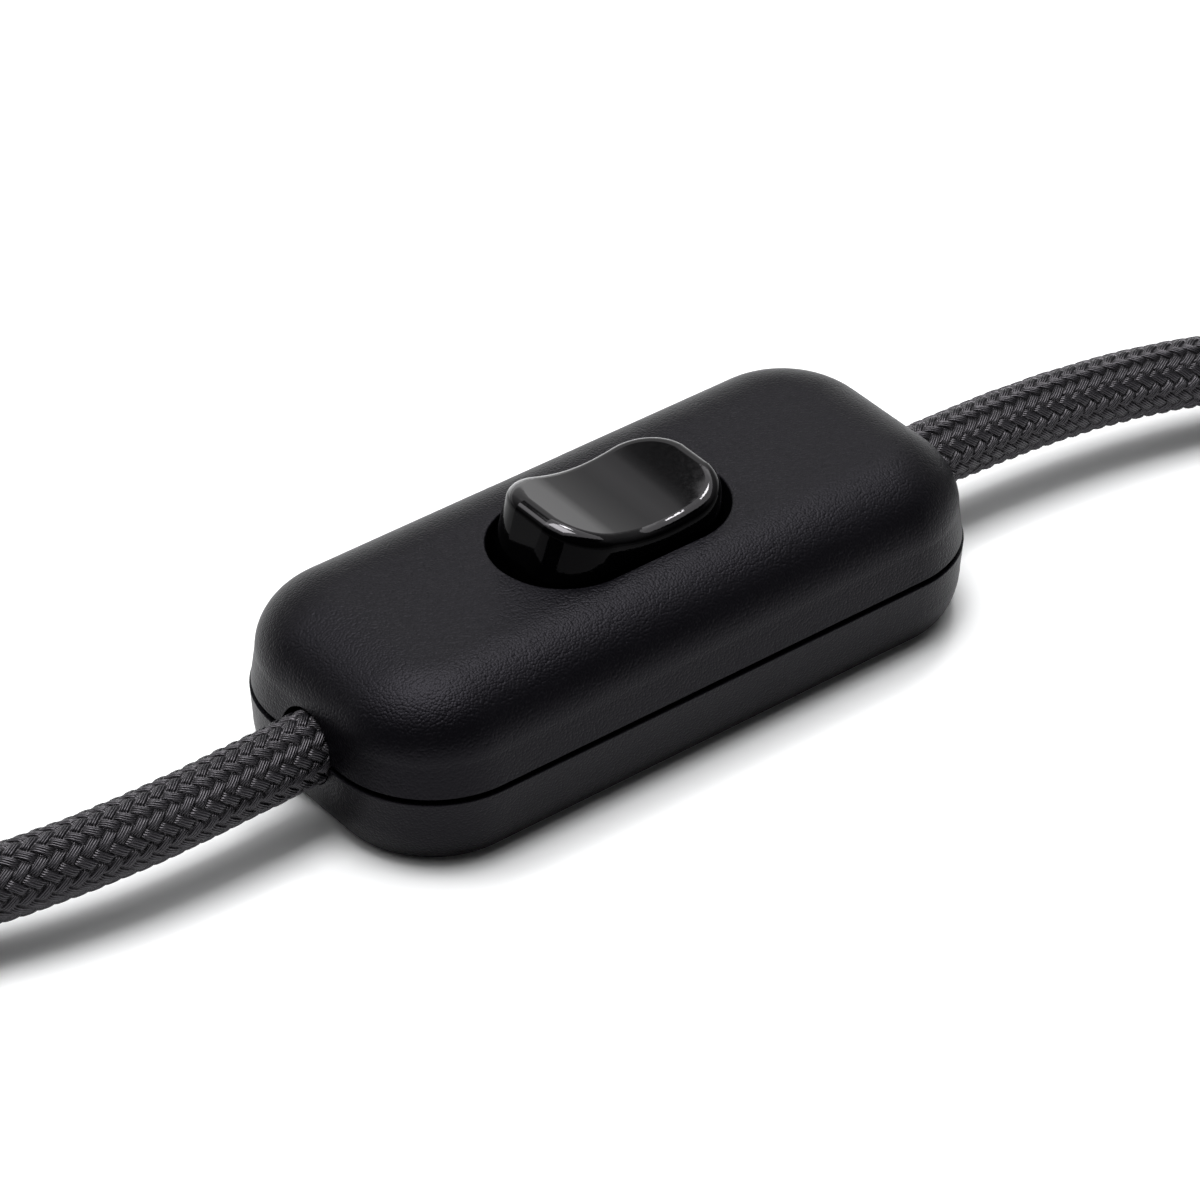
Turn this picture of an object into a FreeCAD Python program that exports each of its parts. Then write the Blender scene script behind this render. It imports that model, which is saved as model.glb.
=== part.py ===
import FreeCAD, Part
import math
import os

# Inline cord switch, millimetres. +X along the cord, +Z up, origin at the middle
# of the housing's underside.

V = FreeCAD.Vector

# ---------------------------------------------------------------- dimensions
L = 67.9            # housing length at the parting line
W = 30.0            # housing width at the parting line
H = 16.75           # housing height
RC = 10.1           # plan corner radius at the parting line
WALL = 1.8          # shell wall
Z_LOW = 7.22        # top of the lower shell's rim
Z_UP = 7.78         # bottom of the upper shell's rim
PROUD = 0.15        # the lower rim stands out past the upper one
UP_DRAFT = 0.134    # inward lean of the upper wall, per mm
UP_RH, UP_RV = 7.5, 5.9      # top edge rounding, across and down
LOW_DRAFT = 0.067
LOW_RH, LOW_RV = 2.2, 4.5    # bottom edge rounding
TONGUE = 0.75       # tongue of the lower shell behind the shadow gap
TONGUE_TOP = 8.9

SLOT_L, SLOT_W = 24.06, 13.9  # rocker slot
SLOT_X = -0.5
COLLAR = 1.25       # wall round the slot, below the roof
COLLAR_Z = 11.4

AXLE_X, AXLE_Z, AXLE_R = SLOT_X, 13.3, 1.25
TILT = 5.0          # rocker tilt to each side
ROCK_A, ROCK_B = 9.43, 6.45   # half length at the top edge, half width
ROCK_CORNER = 5.3   # radius of its corners, seen from above
ROCK_LEAN = 0.25    # the ends lean outward going down, per mm
ROCK_FACE = ((9.42, 7.55), (10.72, 2.6))   # two points of the flat end face, x and z
ROCK_SKIRT = 2.35   # below this height the ends are upright and follow an arc
ROCK_MID, ROCK_END = 5.80, 8.45   # top profile above the axle: middle, crest
ROCK_XK = 14.2      # where the crest of the profile would be
ROCK_EDGE = 1.25    # rounding of the top edge
ROCK_LOW = -1.0     # bottom edge below the axle
ROCK_WALL = 1.3
BARREL_R, BORE_R, BARREL_LOW = 2.3, 1.36, -5.3
PLUNGER_R, TIP = 1.3, -7.55
SPRING_R, SPRING_WIRE = 0.98, 0.16

SEE_Z, SEE_TILT = 5.2, 6.0    # contact bridge: axis height, tilt to each side
SEE_HALF, SEE_W, SEE_T = 6.4, 1.9, 0.8

CORD_R = 3.25
CORD_Z = 7.5
ENTRY_R = 3.62
CORE_R, COPPER_R = 1.15, 0.55
CLAMP_X = 26.4

TAPE = 0.6          # tie tape thickness
LIFT = 0.65         # the hanks lie on their tape
HANK_S = 45.0       # straight length of a hank's runs
HANK_RI, HANK_RO = 19.5, 26.0  # middle of the inner and outer turns
HA_X, HA_Y = -138.0, -16.0     # middle of the hank on the plug side
HB_X, HB_Y, HB_R = 134.5, 0.5, 19.5

PLUG_Z = 27.9
PLUG_T = 13.7

# route of the cord on the plug side, from inside the housing to the hank
ROUTE_LEFT = [
    (-23.0, 0.0, 7.5), (-31.0, -0.12, 7.54), (-41.0, -0.5, 7.46), (-52.0, -0.32, 7.1),
    (-63.0, 1.45, 6.48), (-75.5, 5.4, 5.5), (-90.0, 10.8, 4.5), (-104.5, 14.6, 4.02),
    (-118.5, 14.9, 3.92), (-132.5, 12.1, 3.9), (-145.0, 10.4, 3.94),
]
# route of the cord on the lamp side
ROUTE_RIGHT = [
    (23.0, 0.0, 7.5), (31.0, -0.06, 7.53), (41.0, -0.22, 7.46), (52.0, -1.05, 7.26),
    (63.0, -3.05, 6.9), (75.5, -7.0, 5.8), (90.0, -12.7, 4.6), (104.0, -17.1, 4.02),
    (117.5, -19.2, 3.91), (130.0, -19.1, 3.9),
]


# the end of each cord: up off its hank, round the loop next to the object
TOP_A = LIFT + CORD_R + 2 * 6.5
ROUTE_LEFT_TAIL = (
    [(HA_X + 13.0, HA_Y - HANK_RI - 0.3, TOP_A + 0.1)]
    + [(x, y, z) for x, y, z in [
        (HA_X + 23.0, HA_Y - 20.3, 17.6),
        (HA_X + 33.2, HA_Y - 17.4, 18.9),
        (HA_X + 40.8, HA_Y - 10.4, 20.6),
        (HA_X + 43.7, HA_Y - 0.2, 22.6),
        (HA_X + 41.0, HA_Y + 10.2, 24.7),
        (HA_X + 33.4, HA_Y + 17.6, 26.5),
        (HA_X + 23.0, HA_Y + 20.3, 27.6),
        (HA_X + 13.5, HA_Y + 20.0, 27.9),
    ]]
)
ROUTE_RIGHT_TAIL = (
    [(HB_X - 12.0, HB_Y + HB_R + 0.3, 3.95)]
    + [(x, y, z) for x, y, z in [
        (HB_X - 23.0, HB_Y + 20.2, 4.7),
        (HB_X - 33.2, HB_Y + 17.4, 6.4),
        (HB_X - 40.6, HB_Y + 10.4, 8.6),
        (HB_X - 43.5, HB_Y + 0.2, 10.6),
        (HB_X - 40.8, HB_Y - 10.2, 11.9),
        (HB_X - 33.2, HB_Y - 17.4, 12.0),
        (HB_X - 23.0, HB_Y - 20.0, 11.3),
        (HB_X - 14.0, HB_Y - 19.7, 11.05),
    ]]
)


# ------------------------------------------------------------------- helpers
def box(x0, x1, y0, y1, z0, z1):
    return Part.makeBox(x1 - x0, y1 - y0, z1 - z0, V(x0, y0, z0))


def cyl(r, x, y, z0, z1):
    return Part.makeCylinder(r, z1 - z0, V(x, y, z0), V(0, 0, 1))


def rod_x(r, x0, x1, y, z):
    return Part.makeCylinder(r, x1 - x0, V(x0, y, z), V(1, 0, 0))


def rod_y(r, x, y0, y1, z):
    return Part.makeCylinder(r, y1 - y0, V(x, y0, z), V(0, 1, 0))


def fuse(shapes):
    s = shapes[0]
    if len(shapes) > 1:
        s = s.multiFuse(shapes[1:])
    s = s.removeSplitter()
    return s.Solids[0] if len(s.Solids) == 1 else s


def stadium(half_l, half_w, x, z):
    """A stadium outline, long side along X."""
    s = half_l - half_w
    a, b = V(x + s, -half_w, z), V(x + s, half_w, z)
    c, d = V(x - s, half_w, z), V(x - s, -half_w, z)
    return Part.Wire([
        Part.Arc(a, V(x + half_l, 0, z), b).toShape(),
        Part.LineSegment(b, c).toShape(),
        Part.Arc(c, V(x - half_l, 0, z), d).toShape(),
        Part.LineSegment(d, a).toShape(),
    ])


def soft_box(half_l, half_w, r, z):
    """A rectangle with rounded corners about the origin."""
    a, b, q = half_l - r, half_w - r, r * math.sqrt(0.5)
    edges = []
    for sx, sy in ((1, -1), (1, 1), (-1, 1), (-1, -1)):
        ends = [V(sx * a, sy * half_w, z), V(sx * half_l, sy * b, z)]
        if sx == sy:
            ends.reverse()
        edges.append((ends[0], V(sx * (a + q), sy * (b + q), z), ends[1]))
    out = []
    for k, (p, m, n) in enumerate(edges):
        out.append(Part.Arc(p, m, n).toShape())
        out.append(Part.LineSegment(n, edges[(k + 1) % 4][0]).toShape())
    return Part.Wire(out)


def prism(wire, h):
    return Part.Face(wire).extrude(V(0, 0, h))


def ring_block(length, width, radius, section):
    """A block with a rounded-rectangle plan whose side is the given section.

    section(radius) gives the edges of the side in the (r, z) half plane, from
    low to high, r counted from the corner's axis."""
    edges, low, high = section(radius)
    z0, z1 = low[1], high[1]
    face_edges = [
        Part.LineSegment(V(0, 0, z0), V(low[0], 0, z0)).toShape(),
        *edges,
        Part.LineSegment(V(high[0], 0, z1), V(0, 0, z1)).toShape(),
        Part.LineSegment(V(0, 0, z1), V(0, 0, z0)).toShape(),
    ]
    face = Part.Face(Part.Wire(face_edges))
    hl, hw = length / 2 - radius, width / 2 - radius
    parts = [box(-hl, hl, -hw, hw, z0, z1)]
    for x, y, a in ((hl, hw, 0), (-hl, hw, 90), (-hl, -hw, 180), (hl, -hw, 270)):
        f = face.copy()
        f.rotate(V(0, 0, 0), V(0, 0, 1), a)
        f.translate(V(x, y, 0))
        parts.append(f.revolve(V(x, y, 0), V(0, 0, 1), 90))
    for x, y, a, along in (
        (hl, -hw, 0, V(0, 2 * hw, 0)),
        (hl, hw, 90, V(-2 * hl, 0, 0)),
        (-hl, hw, 180, V(0, -2 * hw, 0)),
        (-hl, -hw, 270, V(2 * hl, 0, 0)),
    ):
        f = face.copy()
        f.rotate(V(0, 0, 0), V(0, 0, 1), a)
        f.translate(V(x, y, 0))
        parts.append(f.extrude(along))
    return fuse(parts)


def quarter(cr, cz, rh, rv, a0, a1):
    """Elliptic quarter edge in the (r, z) plane from angle a0 to a1, degrees."""
    pts = []
    n = 12
    for i in range(n + 1):
        a = math.radians(a0 + (a1 - a0) * i / n)
        pts.append(V(cr + rh * math.cos(a), 0, cz + rv * math.sin(a)))
    c = Part.BSplineCurve()
    c.interpolate(pts)
    return c.toShape(), pts[0], pts[-1]


def upper_section(inset, drop, rh, rv, z0=Z_UP):
    """Side of the upper shell: leaning wall, then the rounded top edge."""
    def section(radius):
        top = H - drop
        zc = top - rv
        r_at = lambda z: radius - UP_DRAFT * (z - Z_UP)
        q, p0, p1 = quarter(r_at(zc) - rh, zc, rh, rv, 0, 90)
        wall = Part.LineSegment(V(r_at(z0), 0, z0), p0).toShape()
        return [wall, q], (r_at(z0), z0), (p1.x, top)
    return section


def lower_section(rise, rh, rv, z1=Z_LOW):
    def section(radius):
        zc = rise + rv
        r_at = lambda z: radius - LOW_DRAFT * (Z_LOW - z)
        q, p0, p1 = quarter(r_at(zc) - rh, zc, rh, rv, -90, 0)
        wall = Part.LineSegment(p1, V(r_at(z1), 0, z1)).toShape()
        return [q, wall], (p0.x, rise), (r_at(z1), z1)
    return section


def straight_section(z0, z1):
    def section(radius):
        e = Part.LineSegment(V(radius, 0, z0), V(radius, 0, z1)).toShape()
        return [e], (radius, z0), (radius, z1)
    return section


RADII = {}


def path(name, points):
    """Straight runs joined by tangent arcs, each as large as its two runs allow."""
    p = [V(*q) for q in points]
    edges, cursor, length, radii = [], p[0], 0.0, []
    for i in range(1, len(p) - 1):
        u, v = p[i].sub(p[i - 1]), p[i + 1].sub(p[i])
        run = min(u.Length, v.Length)
        turn = u.getAngle(v)
        setback = 0.45 * run
        radius = setback / math.tan(turn / 2)
        un, vn = V(u).normalize(), V(v).normalize()
        a = p[i].sub(un * setback)
        b = p[i].add(vn * setback)
        half = V(vn.sub(un)).normalize()
        mid = p[i].add(half * (radius * (1 / math.cos(turn / 2) - 1)))
        edges.append(Part.LineSegment(cursor, a).toShape())
        edges.append(Part.Arc(a, mid, b).toShape())
        length += a.sub(cursor).Length + radius * turn
        cursor = b
        radii.append(radius)
    edges.append(Part.LineSegment(cursor, p[-1]).toShape())
    length += p[-1].sub(cursor).Length
    RADII[name] = (radii, length)
    return Part.Wire(edges)


def tube(name, points, r):
    w = path(name, points)
    start = V(*points[0])
    along = V(*points[1]).sub(start)
    c = Part.Wire([Part.makeCircle(r, start, along)])
    s = w.makePipeShell([c], True, False)
    if not s.Solids:
        s = Part.Solid(s.Shells[0])
    s = s.Solids[0]
    if s.Volume < 0:
        s.reverse()
    expected = math.pi * r * r * RADII[name][1]
    print("%-18s length %7.1f  volume %8.1f of %8.1f  smallest radius %5.1f  valid %s"
          % (name, RADII[name][1], s.Volume, expected, min(RADII[name][0]), s.isValid()))
    return s


def screw(x, y, z_seat, up, head_r, head_h, shank_r, shank_l, slot=True):
    """Pan head screw. up = 1 when the head points up."""
    k = 1 if up else -1
    head = Part.makeCylinder(head_r, head_h, V(x, y, z_seat), V(0, 0, k))
    rim = [e for e in head.Edges if abs(e.BoundBox.ZMin - (z_seat + k * head_h)) < 1e-6
           and abs(e.BoundBox.ZMax - (z_seat + k * head_h)) < 1e-6]
    head = head.makeFillet(head_h * 0.45, rim)
    shank = Part.makeCylinder(shank_r, shank_l, V(x, y, z_seat), V(0, 0, -k))
    tip = [e for e in shank.Edges if abs(e.BoundBox.ZMin - (z_seat - k * shank_l)) < 1e-6
           and abs(e.BoundBox.ZMax - (z_seat - k * shank_l)) < 1e-6]
    shank = shank.makeChamfer(shank_r * 0.4, tip)
    s = head.fuse(shank).removeSplitter()
    if slot:
        w, t = head_r * 0.26, head_h * 0.5
        z_end = z_seat + k * head_h
        z0, z1 = (z_end - t, z_end + 1) if up else (z_end - 1, z_end + t)
        s = s.cut(box(x - head_r * 0.72, x + head_r * 0.72, y - w / 2, y + w / 2, z0, z1))
        s = s.cut(box(x - w / 2, x + w / 2, y - head_r * 0.72, y + head_r * 0.72, z0, z1))
    return s.Solids[0]


def save(name, shape):
    solids = shape.Solids if not isinstance(shape, list) else shape
    if isinstance(shape, list):
        shape = Part.makeCompound(shape)
    elif len(solids) == 1:
        shape = solids[0]
    ok = all(s.isValid() and s.isClosed() and s.Volume > 0 for s in solids)
    b = shape.BoundBox
    print("%-18s %2d solid(s) ok=%s vol %9.1f  x %7.2f %7.2f  y %7.2f %7.2f  z %6.2f %6.2f"
          % (name, len(solids), ok, shape.Volume, b.XMin, b.XMax, b.YMin, b.YMax, b.ZMin, b.ZMax))
    shape.exportStep("parts/%s.step" % name)


os.makedirs("parts", exist_ok=True)

# --------------------------------------------------------------- lower shell
outer = ring_block(L + 2 * PROUD, W + 2 * PROUD, RC + PROUD, lower_section(0.0, LOW_RH, LOW_RV))
inner = ring_block(L - 2 * WALL, W - 2 * WALL, RC - WALL,
                   lower_section(1.7, LOW_RH - 0.6, LOW_RV - 1.2, Z_LOW + 3))
lower = outer.cut(inner)
tongue = ring_block(L - 2 * (WALL - TONGUE), W - 2 * (WALL - TONGUE), RC - (WALL - TONGUE),
                    straight_section(Z_LOW - 1.0, TONGUE_TOP))
tongue = tongue.cut(ring_block(L - 2 * WALL, W - 2 * WALL, RC - WALL,
                               straight_section(Z_LOW - 2.0, TONGUE_TOP + 1)))
lower = lower.fuse(tongue)

SCREWS = [(-17.6, 9.6), (17.6, 9.6), (-19.5, -9.9)]
feet = []
for x, y in SCREWS:
    feet.append(cyl(3.9, x, y, 0.6, 4.6))
    feet.append(cyl(2.7, x, y, 4.0, Z_LOW))
for sx in (-1, 1):
    for sy in (-1, 1):
        feet.append(cyl(2.3, sx * CLAMP_X, sy * 6.15, 1.0, 8.3))
    feet.append(box(sx * CLAMP_X - 1.6, sx * CLAMP_X + 1.6, -4.4, 4.4, 1.0, 5.6))
for sy in (-1, 1):   # posts that keep the stub axles up in their notches
    y0, y1 = sorted((sy * 7.02, sy * 8.15))
    feet.append(box(AXLE_X - 1.15, AXLE_X + 1.15, y0, y1, 1.0, AXLE_Z - AXLE_R - 0.06))
# seats for the terminals
feet.append(box(-15.6, -10.9, -2.6, 2.6, 1.0, 2.28))
feet.append(box(10.4, 15.2, -2.6, 2.6, 1.0, 2.28))
feet.append(box(-3.6, 3.0, -2.0, 2.0, 1.0, 2.28))
feet.append(box(4.6, 15.6, -11.9, -7.5, 1.0, 2.28))
feet = fuse([f for f in feet])
lower = lower.fuse(feet.common(fuse([outer, box(-29, 29, -11.8, 11.8, 3.0, 14.0)])))
for x, y in SCREWS:
    lower = lower.cut(cyl(3.0, x, y, -1.0, 2.6)).cut(cyl(1.55, x, y, 2.0, Z_LOW + 1))
for sx in (-1, 1):
    for sy in (-1, 1):
        lower = lower.cut(cyl(1.15, sx * CLAMP_X, sy * 6.15, 3.0, 9.0))
lower = lower.cut(rod_x(CORD_R + 0.12, CLAMP_X - 4, CLAMP_X + 4, 0, CORD_Z))
lower = lower.cut(rod_x(CORD_R + 0.12, -CLAMP_X - 4, -CLAMP_X + 4, 0, CORD_Z))
for x0, x1 in ((-40, -28), (28, 40)):
    lower = lower.cut(rod_x(ENTRY_R, x0, x1, 0, CORD_Z))
lower = lower.removeSplitter()
save("lower_shell", lower)

# --------------------------------------------------------------- upper shell
outer = ring_block(L, W, RC, upper_section(0, 0.0, UP_RH, UP_RV))
inner = ring_block(L - 2 * WALL, W - 2 * WALL, RC - WALL,
                   upper_section(0, 1.7, UP_RH - 1.1, UP_RV - 1.1, Z_UP - 1))
upper = outer.cut(inner)
rebate = ring_block(L - 2 * (WALL - TONGUE - 0.08), W - 2 * (WALL - TONGUE - 0.08),
                    RC - (WALL - TONGUE - 0.08), straight_section(Z_UP - 1, TONGUE_TOP + 0.15))
upper = upper.cut(rebate)
ribs = [prism(stadium(SLOT_L / 2 + COLLAR, SLOT_W / 2 + COLLAR, SLOT_X, COLLAR_Z), H - COLLAR_Z)]
for x, y in SCREWS:
    ribs.append(cyl(2.7, x, y, Z_LOW + 0.08, H))
upper = upper.fuse(fuse(ribs).common(fuse([outer, box(-29, 29, -12.1, 12.1, Z_LOW, 12.0)])))
cutter = prism(stadium(SLOT_L / 2, SLOT_W / 2, SLOT_X, COLLAR_Z - 1), H)
upper = upper.cut(cutter)
upper = upper.cut(box(AXLE_X - AXLE_R - 0.05, AXLE_X + AXLE_R + 0.05, -9.5, 9.5, COLLAR_Z - 1, AXLE_Z))
upper = upper.cut(rod_y(AXLE_R + 0.05, AXLE_X, -9.5, 9.5, AXLE_Z))
for x, y in SCREWS:
    upper = upper.cut(cyl(1.3, x, y, Z_LOW - 1, 13.4))
for x0, x1 in ((-40, -28), (28, 40)):
    upper = upper.cut(rod_x(ENTRY_R, x0, x1, 0, CORD_Z))
upper = upper.removeSplitter()
rim = [e for e in upper.Edges
       if abs(e.BoundBox.ZMin - H) < 1e-4 and abs(e.BoundBox.ZMax - H) < 1e-4
       and abs(e.BoundBox.XMin - SLOT_X) < SLOT_L / 2 + 0.01
       and abs(e.BoundBox.XMax - SLOT_X) < SLOT_L / 2 + 0.01
       and max(abs(e.BoundBox.YMin), abs(e.BoundBox.YMax)) < SLOT_W / 2 + 0.01]
try:
    rounded = upper.makeFillet(0.18, rim)
    if rounded.isValid():
        upper = rounded
except Exception as err:
    print("slot rim left sharp:", err)
save("upper_shell", upper)

# -------------------------------------------------------------- shell screws
save("shell_screws", [screw(x, y, 2.57, False, 2.6, 1.7, 1.25, 10.0) for x, y in SCREWS])

# -------------------------------------------------------------------- rocker
def profile(x):
    return ROCK_MID + (ROCK_END - ROCK_MID) * 0.5 * (1 - math.cos(math.pi * abs(x) / ROCK_XK))


z_edge = profile(ROCK_A)
top_z = z_edge + 1.5
grow = ROCK_LEAN * (z_edge - ROCK_SKIRT)
shrink = ROCK_LEAN * (top_z - z_edge)
body = Part.makeLoft([soft_box(ROCK_A + grow, ROCK_B, ROCK_CORNER, ROCK_SKIRT),
                      soft_box(ROCK_A - shrink, ROCK_B, ROCK_CORNER, top_z)], True, True)
body = fuse([body, prism(soft_box(ROCK_A + grow, ROCK_B, ROCK_CORNER, ROCK_LOW), ROCK_SKIRT - ROCK_LOW)])
(fx0, fz0), (fx1, fz1) = ROCK_FACE
face_x = lambda z: fx0 + (fx1 - fx0) * (fz0 - z) / (fz0 - fz1)
skirt_r = math.hypot(face_x(ROCK_SKIRT), ROCK_SKIRT)
on_arc = lambda k, z: V(k * math.sqrt(skirt_r ** 2 - z ** 2), -10, z)
side = Part.Wire([
    Part.LineSegment(V(-face_x(12), -10, 12), V(-face_x(ROCK_SKIRT), -10, ROCK_SKIRT)).toShape(),
    Part.Arc(V(-face_x(ROCK_SKIRT), -10, ROCK_SKIRT), on_arc(-1, 0.7), on_arc(-1, ROCK_LOW - 1)).toShape(),
    Part.LineSegment(on_arc(-1, ROCK_LOW - 1), on_arc(1, ROCK_LOW - 1)).toShape(),
    Part.Arc(on_arc(1, ROCK_LOW - 1), on_arc(1, 0.7), V(face_x(ROCK_SKIRT), -10, ROCK_SKIRT)).toShape(),
    Part.LineSegment(V(face_x(ROCK_SKIRT), -10, ROCK_SKIRT), V(face_x(12), -10, 12)).toShape(),
    Part.LineSegment(V(face_x(12), -10, 12), V(-face_x(12), -10, 12)).toShape(),
])
body = body.common(Part.Face(side).extrude(V(0, 20, 0)))
pts = [V(x, -10, profile(x)) for x in [-13.0 + 26.0 * i / 24 for i in range(25)]]
curve = Part.BSplineCurve()
curve.interpolate(pts)
lid = Part.Wire([
    curve.toShape(),
    Part.LineSegment(pts[-1], V(13.0, -10, 14)).toShape(),
    Part.LineSegment(V(13.0, -10, 14), V(-13.0, -10, 14)).toShape(),
    Part.LineSegment(V(-13.0, -10, 14), pts[0]).toShape(),
])
lid = Part.Face(lid).extrude(V(0, 20, 0))
body = body.cut(lid).removeSplitter()
top_face = max(body.Faces, key=lambda f: f.CenterOfMass.z)
for radius in (ROCK_EDGE, ROCK_EDGE * 0.8, 0.6):
    try:
        rounded = body.makeFillet(radius, top_face.Edges)
        if rounded.isValid() and len(rounded.Solids) == 1:
            body = rounded
            print("rocker edge rounded", radius)
            break
    except Exception as err:
        print("rocker edge", radius, err)
solid_body = body.Solids[0]
hollow = Part.makeLoft([stadium(ROCK_A + grow - ROCK_WALL, ROCK_B - ROCK_WALL, 0, ROCK_LOW - 1),
                        stadium(ROCK_A - ROCK_WALL - 0.6, ROCK_B - ROCK_WALL, 0, ROCK_MID - 1.5)], True, True)
axles = [rod_y(AXLE_R, 0, -8.1, 8.1, 0)]
axles[0] = axles[0].cut(rod_y(AXLE_R + 1, 0, -3.2, 3.2, 0))
body = solid_body.cut(hollow)
body = fuse([body, *axles[0].Solids, cyl(BARREL_R, 0, 0, BARREL_LOW, ROCK_MID - 1.4)])
body = body.cut(cyl(BORE_R, 0, 0, BARREL_LOW - 1, 3.1))
# ribs tie the barrel to the side walls
rib = box(-0.6, 0.6, -ROCK_B + 1, ROCK_B - 1, ROCK_LOW + 0.3, ROCK_MID - 1.0).cut(cyl(BARREL_R - 0.3, 0, 0, -3, 7))
body = fuse([body, *rib.Solids])
place = lambda s, a, x, z: (lambda c: (c.rotate(V(0, 0, 0), V(0, 1, 0), a), c.translate(V(x, 0, z)), c)[2])(s.copy())
save("rocker", place(body, TILT, AXLE_X, AXLE_Z))

plunger = cyl(PLUNGER_R, 0, 0, TIP + PLUNGER_R, -3.5)
plunger = fuse([plunger, Part.makeSphere(PLUNGER_R, V(0, 0, TIP + PLUNGER_R))])
plunger = fuse([plunger, cyl(0.7, 0, 0, -3.6, -2.6)])
save("plunger", place(plunger, TILT, AXLE_X, AXLE_Z))

helix = Part.makeHelix(1.02, 6.12, SPRING_R)
helix.translate(V(0, 0, -3.28))
wire = Part.Wire(helix.Edges)
coil_c = Part.Wire([Part.makeCircle(SPRING_WIRE, V(SPRING_R, 0, -3.28), V(0, 1, 0.16))])
spring = wire.makePipeShell([coil_c], True, True)
save("plunger_spring", place(spring, TILT, AXLE_X, AXLE_Z))

# ------------------------------------------------------------ contact bridge
bridge = box(-SEE_HALF, SEE_HALF, -SEE_W, SEE_W, -SEE_T / 2, SEE_T / 2)
bridge = bridge.makeFillet(0.35, [e for e in bridge.Edges if e.BoundBox.ZLength > SEE_T * 0.9])
bridge = fuse([bridge, rod_y(0.55, 0, -3.45, 3.45, 0)])
bridge = bridge.cut(cyl(0.62, -5.4, 0, -1, 1))
save("seesaw", place(bridge, -SEE_TILT, AXLE_X, SEE_Z))
rivet = fuse([cyl(0.6, -5.4, 0, -SEE_T / 2 - 0.1, SEE_T / 2), cyl(1.2, -5.4, 0, -SEE_T / 2 - 0.45, -SEE_T / 2)])
save("seesaw_contact", place(rivet, -SEE_TILT, AXLE_X, SEE_Z))

# ----------------------------------------------------------------- terminals
def block(x0, x1, y0, y1, z0, z1):
    b = box(x0, x1, y0, y1, z0, z1)
    return b.makeFillet(0.5, [e for e in b.Edges if e.BoundBox.XLength > (x1 - x0) * 0.9])


strip_z0, strip_z1 = 2.3, 3.1
load = fuse([block(-15.8, -10.6, -2.8, 2.8, 2.3, 8.8), box(-10.8, -4.1, -2.1, 2.1, strip_z0, strip_z1)])
load = load.cut(rod_x(1.15, -16.5, -11.6, 0, 6.0)).cut(cyl(1.3, -13.2, 0, 5.6, 9.5))
load = load.cut(cyl(0.62, -6.3, 0, 2.0, 4.0))
save("load_terminal", load)
save("load_contact", fuse([cyl(0.6, -6.3, 0, 2.32, 3.2), cyl(1.2, -6.3, 0, 3.1, 3.62)]))

feed = fuse([block(10.4, 15.6, -2.8, 2.8, 2.3, 8.8), box(-3.4, 10.6, -2.1, 2.1, strip_z0, strip_z1),
             box(-1.9, 0.9, -3.35, 3.35, strip_z0, strip_z1),
             box(-1.9, 0.9, 2.65, 3.35, strip_z0, 5.9), box(-1.9, 0.9, -3.35, -2.65, strip_z0, 5.9)])
feed = feed.cut(rod_x(1.15, 11.4, 16.5, 0, 6.0)).cut(cyl(1.3, 13.0, 0, 5.6, 9.5))
feed = feed.cut(rod_y(0.6, AXLE_X, -4, 4, SEE_Z))
feed = feed.cut(box(AXLE_X - 0.6, AXLE_X + 0.6, -4, 4, SEE_Z, 6.5))
save("feed_terminal", feed)

save("terminal_screws", [screw(x, 0, 8.85, True, 1.9, 1.2, 1.24, 2.2) for x in (-13.2, 13.0)])

NEUT_Y = -9.7
neutral = block(4.4, 15.8, NEUT_Y - 2.5, NEUT_Y + 2.5, 2.3, 8.4)
neutral = neutral.cut(rod_x(1.15, 4.0, 16.5, NEUT_Y, 5.7))
for x in (7.0, 13.2):
    neutral = neutral.cut(cyl(1.3, x, NEUT_Y, 5.3, 9.0))
save("neutral_terminal", neutral)
save("neutral_screws", [screw(x, NEUT_Y, 8.45, True, 1.9, 1.2, 1.24, 2.0) for x in (7.0, 13.2)])

# --------------------------------------------------------------- cord clamps
for name, sx in (("cord_clamp_left", -1), ("cord_clamp_right", 1)):
    x = sx * CLAMP_X
    bar = fuse([box(x - 2.2, x + 2.2, -8.3, 8.3, 8.36, 10.1), rod_x(5.0, x - 2.2, x + 2.2, 0, CORD_Z)])
    bar = bar.common(box(x - 3, x + 3, -9, 9, 8.36, 14))
    bar = bar.cut(rod_x(CORD_R + 0.12, x - 4, x + 4, 0, CORD_Z))
    for sy in (-1, 1):
        bar = bar.cut(cyl(1.25, x, sy * 6.15, 8, 11))
        bar = bar.cut(cyl(2.0, x, sy * 6.15, 10.1, 14))
    save(name, bar)
save("clamp_screws", [screw(sx * CLAMP_X, sy * 6.15, 10.14, True, 1.9, 1.3, 1.1, 6.0)
                      for sx in (-1, 1) for sy in (-1, 1)])

# --------------------------------------------------------------------- cores
save("core_brown_left", tube("core_brown_left", [
    (-22.9, 1.3, 7.5), (-21.7, 1.3, 7.5), (-20.3, 1.0, 7.15), (-19.0, 0.35, 6.45), (-17.8, 0.0, 6.05),
    (-16.4, 0.0, 6.05)], CORE_R))
save("core_brown_right", tube("core_brown_right", [
    (22.9, 1.3, 7.5), (21.6, 1.3, 7.5), (20.2, 1.0, 7.15), (18.8, 0.35, 6.45), (17.6, 0.0, 6.05),
    (16.2, 0.0, 6.05)], CORE_R))
save("core_blue_left", tube("core_blue_left", [
    (-22.9, -1.3, 7.5), (-21.4, -1.3, 7.5), (-18.6, -2.9, 7.4), (-14.6, -5.4, 6.9), (-9.6, -8.2, 6.1),
    (-4.2, -9.7, 5.72), (3.6, -9.7, 5.72)], CORE_R))
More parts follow.
